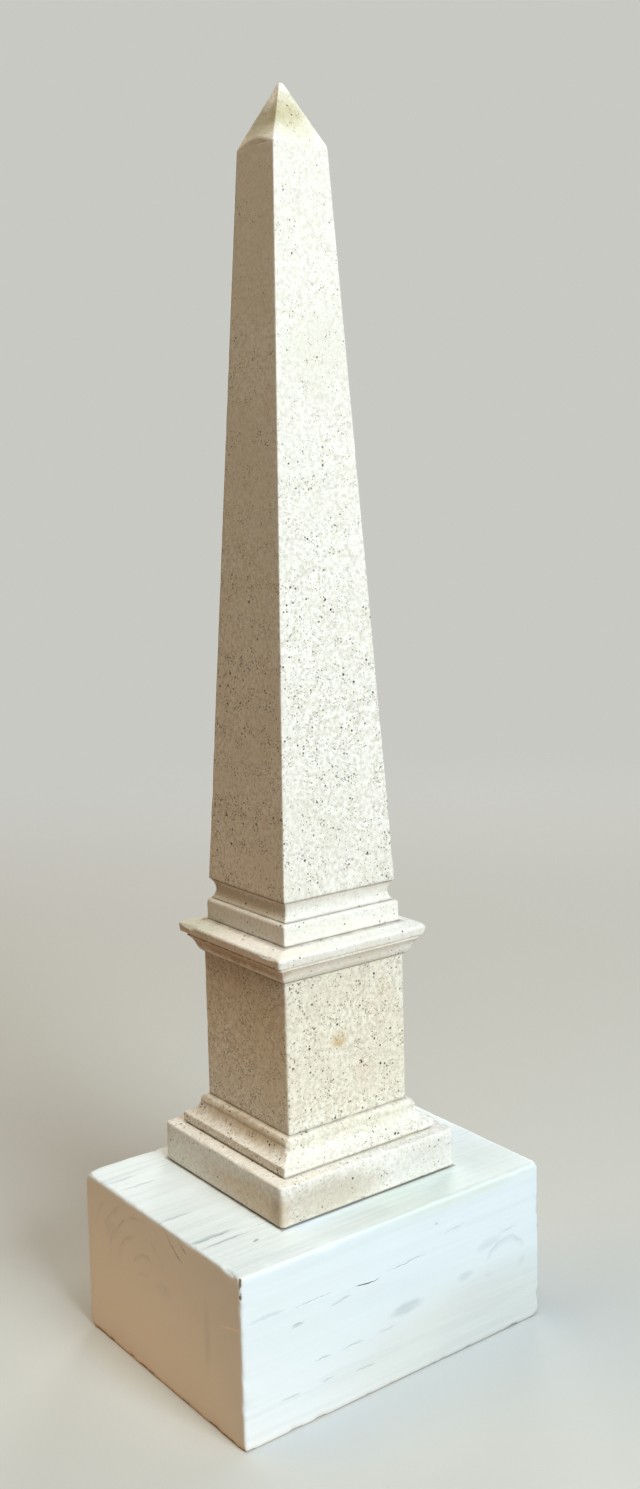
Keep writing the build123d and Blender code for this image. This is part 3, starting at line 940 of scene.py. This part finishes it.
# %% Strike the splinters
splinters = (
    # face, along, down, way the broken face looks, reach, bare wood
    ("end", 134.4, 2.4, (-1.0, -0.7, 0.2), 2.3, 2.0), ("end", 135.0, 7.6, (-1.0, -0.8, -0.1), 2.0, 2.0),
    ("end", 55.0, 76.0, (-1.0, 0.0, -1.0), 5.0, 2.0), ("side", 150.0, 76.0, (0.1, -1.0, -1.0), 5.0, 2.0),
    ("side", 169.2, 33.0, (1.0, -1.0, 0.0), 2.6, 2.0), ("end", 2.2, 2.2, (-1.0, 1.0, 1.0), 7.0, 0.0),
    ("end", 2.0, 75.0, (-1.0, 1.0, -1.0), 6.0, 0.0), ("side", 167.6, 75.0, (1.0, -1.0, -1.0), 6.0, 0.0),
    ("side", 168.6, 1.6, (1.0, -1.0, 1.0), 4.0, 0.0),
)
for face, along, down, facing, reach, bare in splinters:
    count = strike(pieces["timber_block"], on_face(face, along, down), facing, reach, 0.5, bare)
    print(f"{face} {along:.0f}, {down:.0f}: {count} points")

# %% [markdown]
# Drying checks follow the fibres along the side, and one runs slantwise from the top edge of
# the end. Each is a thin wedge, widest in its middle, that wanders a little. All the wedges
# make one mesh, and one Boolean cuts them out of the block, so that they are real grooves. The
# Boolean also carries onto their walls the material of bare wood darkened by painted shade.

# %% Cut the drying checks
# in mm: between a wedge's sections, how far it stands out of the face, and how far it wanders
stride, proud, wandering = 1.6, 0.8, 0.5


def wedge(points, faces_out, face, path, width, deep):
    path = [Vector(p) for p in path]
    lengths = [(b - a).length for a, b in zip(path, path[1:])]
    count = max(4, round(sum(lengths) / stride))
    first = len(points)
    for i in range(count + 1):
        far = sum(lengths) * i / count
        leg = 0
        while leg < len(lengths) - 1 and far > lengths[leg]:
            far -= lengths[leg]
            leg += 1
        spot = path[leg].lerp(path[leg + 1], far / lengths[leg])
        wander = noise.noise(Vector((spot.x * 0.35, spot.y, first))) * wandering
        uneven = 0.75 + 0.5 * noise.noise(Vector((spot.x, spot.y * 2, 5)))
        swell = 0.08 + 0.92 * sin(pi * i / count) * uneven
        for side, out in ((-1, proud), (1, proud), (0, -deep * swell)):
            points.append(on_face(face, spot.x, spot.y + wander + side * width * swell, out) * MM)
    for i in range(count):
        a = first + 3 * i
        faces_out += [(a, a + 1, a + 4, a + 3), (a + 1, a + 2, a + 5, a + 4), (a + 2, a, a + 3, a + 5)]
    a = first + 3 * count
    faces_out += [(first + 2, first + 1, first), (a, a + 1, a + 2)]


checks = (
    # face, path along and down, then in mm half its width and its depth
    ("side", ((24, 22.2), (48, 21.6)), 0.17, 1.4), ("side", ((58, 23.6), (66, 25), (73, 24.6)), 0.42, 3.0),
    ("side", ((76, 23.4), (101, 22)), 0.20, 1.6), ("side", ((107, 16.4), (126, 15.2)), 0.16, 1.2),
    ("side", ((143, 27.4), (157, 26.6)), 0.18, 1.2), ("side", ((44, 28.6), (58, 26.8)), 0.16, 1.0),
    ("side", ((24, 31), (32, 30.4)), 0.14, 1.0),
    ("end", ((73.6, 1.0), (79.9, 6.3), (85.1, 9.7), (90.6, 12.3)), 0.46, 2.6),
    ("end", ((87.4, 2.6), (90, 4.6), (93.6, 6.2)), 0.46, 2.0),
)
points, wedge_faces = [], []
for face, path, width, deep in checks:
    wedge(points, wedge_faces, face, path, width, deep)
cutter_mesh = bpy.data.meshes.new("check_wedges")
cutter_mesh.from_pydata(points, [], wedge_faces)
# the walls take bare wood darkened by painted shade
cutter_mesh.materials.append(bare_wood_and_crack_shade)
cutter_mesh.shade_flat()
cutter = bpy.data.objects.new("check_wedges", cutter_mesh)
bpy.context.scene.collection.objects.link(cutter)
block = pieces["timber_block"]
cut = block.modifiers.new("checks", "BOOLEAN")
cut.operation = "DIFFERENCE"
cut.solver = "EXACT"
cut.material_mode = "TRANSFER"
cut.object = cutter
cut_mesh = bpy.data.meshes.new_from_object(block.evaluated_get(bpy.context.evaluated_depsgraph_get()))
block.modifiers.clear()
block.data = cut_mesh
bpy.data.objects.remove(cutter)

# the cut leaves slivers beside each groove, whose slant would spoil smooth shading: those stay flat
dark_faces = [face for face in cut_mesh.polygons if cut_mesh.materials[face.material_index] == bare_wood_and_crack_shade]
groove_points = {point for face in dark_faces for point in face.vertices}
for face in cut_mesh.polygons:
    if not groove_points.isdisjoint(face.vertices):
        face.use_smooth = False
print("wedges:", round(outward_volume(cutter_mesh) / MM ** 3), "mm3, block materials:",
      [m.name for m in cut_mesh.materials])

# %% [markdown]
# Each finished piece rides on the part's one body and stands for its CAD node, which is hidden.

# %% Hand the pieces to the frame
for name, piece in pieces.items():
    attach(piece, "root")
    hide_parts(name)
print("pieces:", sorted(p.name for p in pieces.values()))

# %% [markdown]
# The floor is a wide disc. Near the piece it is matte and takes the shadow, and further out it
# turns into the plain colour of the background, so that no horizon shows. The light that it
# bounces is warm, and warmest from a patch on the left, as a gold reflector card would throw it.
# The camera doesn't see that glow, because the material knows which rays come straight from it.

# %% Floor
def seen_directly(tree):
    path = node(tree, "LightPath").node.outputs
    seen = node(tree, "Math MAXIMUM", (path["Is Camera Ray"], path["Is Glossy Ray"]))
    return node(tree, "Math MAXIMUM", (seen, path["Is Transmission Ray"]))


background = linear("C9C9C4")
card_place = (-0.20, 0.03, 0.0)
card_glow, floor_glow = (0.86, 0.48, 0.24, 1), (0.14, 0.085, 0.05, 1)
floor_mesh = bpy.data.meshes.new("floor")
floor_radius, corners = 4, 96
turns = [2 * pi * i / corners for i in range(corners)]
rim = [(floor_radius * cos(turn), floor_radius * sin(turn), 0.0) for turn in turns]
floor_mesh.from_pydata(rim, [], [tuple(range(corners))])
floor = bpy.data.objects.new("floor", floor_mesh)
bpy.context.scene.collection.objects.link(floor)
ground, t, shader = new_material("plain_paper_floor", {})
floor_mesh.materials.append(ground)
t.nodes.remove(shader)
here = node(t, "TexCoord", out="Object")
far = node(t, "VectorMath LENGTH", (here,))
from_card = node(t, "VectorMath DISTANCE", (here, card_place))
fade = node(t, "MapRange", (far, 0.45, 1.6), interpolation_type="SMOOTHSTEP")
seen = seen_directly(t)
past_card = node(t, "MapRange", (from_card, 0.08, 0.25))
glow = node(t, "Mix", {"Factor": past_card, 6: card_glow, 7: floor_glow}, data_type="RGBA")
tone = node(t, "Mix", {"Factor": seen, 6: glow, 7: linear("CFCFCB")}, data_type="RGBA")
matte = node(t, "BsdfDiffuse", {"Color": tone})
plain = node(t, "Emission", {"Color": background, "Strength": 1.0})
shown = node(t, "Math MULTIPLY", (fade, seen))
surface = node(t, "MixShader", {"Fac": shown, 1: matte, 2: plain})
t.links.new(surface, t.nodes["Material Output"].inputs["Surface"])
print("floor:", 2 * floor_radius, "m across")

# %% [markdown]
# The room round the piece is the background's plain grey to the camera, but almost dark and a
# little warm to the light, so that the lamps alone model the shape.

# %% The room
world = bpy.data.worlds.new("soft_room")
bpy.context.scene.world = world
world.use_nodes = True
t = world.node_tree
seen = seen_directly(t)
room = node(t, "Mix", {"Factor": seen, 6: (0.02, 0.016, 0.012, 1), 7: background}, data_type="RGBA")
t.links.new(room, t.nodes["Background"].inputs["Color"])
print("background:", [round(c, 2) for c in background[:3]])

# %% [markdown]
# Light. A big soft key from the front, as a window gives, slightly cool, with a cool lamp
# overhead, a warm one above and behind, as from a lit room, and a low back light from the right
# for the sides that face away. A matte surface of full white that faces a lamp at this distance
# shows white when the lamp's power is (pi x distance) squared, so each lamp is set as a share of
# that: 1 is the plain level. All of them aim about half way up the piece.

# %% Lamps
aim = Vector((0.0, 0.0, 0.28))


def lamp(name, towards, distance, width, level, colour):
    light = bpy.data.lights.new(name, "AREA")
    light.shape = "DISK"
    light.size = width
    light.energy = level * (pi * distance) ** 2
    light.color = colour
    holder = bpy.data.objects.new(name, light)
    bpy.context.scene.collection.objects.link(holder)
    holder.location = aim + Vector(towards).normalized() * distance
    holder.rotation_euler = Vector(towards).to_track_quat("Z", "Y").to_euler()
    print(f"{name}: {light.energy:.1f} W")


lamp("window_key", (0.0, -0.90, 0.36), 2.4, 1.2, 1.09, (0.85, 0.96, 1.0))
lamp("overhead", (-0.05, -0.30, 0.95), 2.4, 1.4, 0.46, (0.80, 0.90, 1.0))
lamp("room_warmth", (-0.35, 0.35, 0.87), 2.4, 1.4, 0.33, (1.0, 0.70, 0.28))
lamp("back_light", (0.75, 0.75, 0.15), 2.4, 1.0, 0.46, (1.0, 0.99, 0.97))

# %% [markdown]
# The camera stands where the photograph was taken from. Its focal length and its place were
# worked out from the corners of the block and the stones: the object's upright and level edges
# meet in three vanishing points. The photograph is a crop, so the lens axis is not in its
# middle, which a small shift gives back.

# %% Camera
image_width, image_height = 640, 1489
focal_pixels, axis_x, axis_y = 1569.6, 405.5, 649.9
azimuth, pitch, roll = radians(-38.88), radians(6.215), radians(-1.079)
camera_place = (-0.4153, -0.5944, 0.4048)
right = Vector((cos(azimuth), sin(azimuth), 0))
forward = Vector((-sin(azimuth) * cos(pitch), cos(azimuth) * cos(pitch), -sin(pitch)))
up = right.cross(forward)
right, up = cos(roll) * right + sin(roll) * up, -sin(roll) * right + cos(roll) * up
view = bpy.data.cameras.new("camera")
view.sensor_width = 36
view.lens = focal_pixels * view.sensor_width / image_height
view.shift_x = -(axis_x - image_width / 2) / image_height
view.shift_y = (axis_y - image_height / 2) / image_height
view.clip_end = 20
camera = bpy.data.objects.new("camera", view)
bpy.context.scene.collection.objects.link(camera)
turned = Matrix((right, up, -forward)).transposed().to_4x4()
camera.matrix_world = Matrix.Translation(camera_place) @ turned
bpy.context.scene.camera = camera
bpy.context.scene.view_settings.view_transform = "Standard"
print(f"lens {view.lens:.1f} mm, shift {view.shift_x:.3f}, {view.shift_y:.3f}")

# %% [markdown]
# Last, the finished pieces have to fill the same box as the CAD model, and the scene is brought
# up to date.

# %% Finish
bpy.context.view_layer.update()
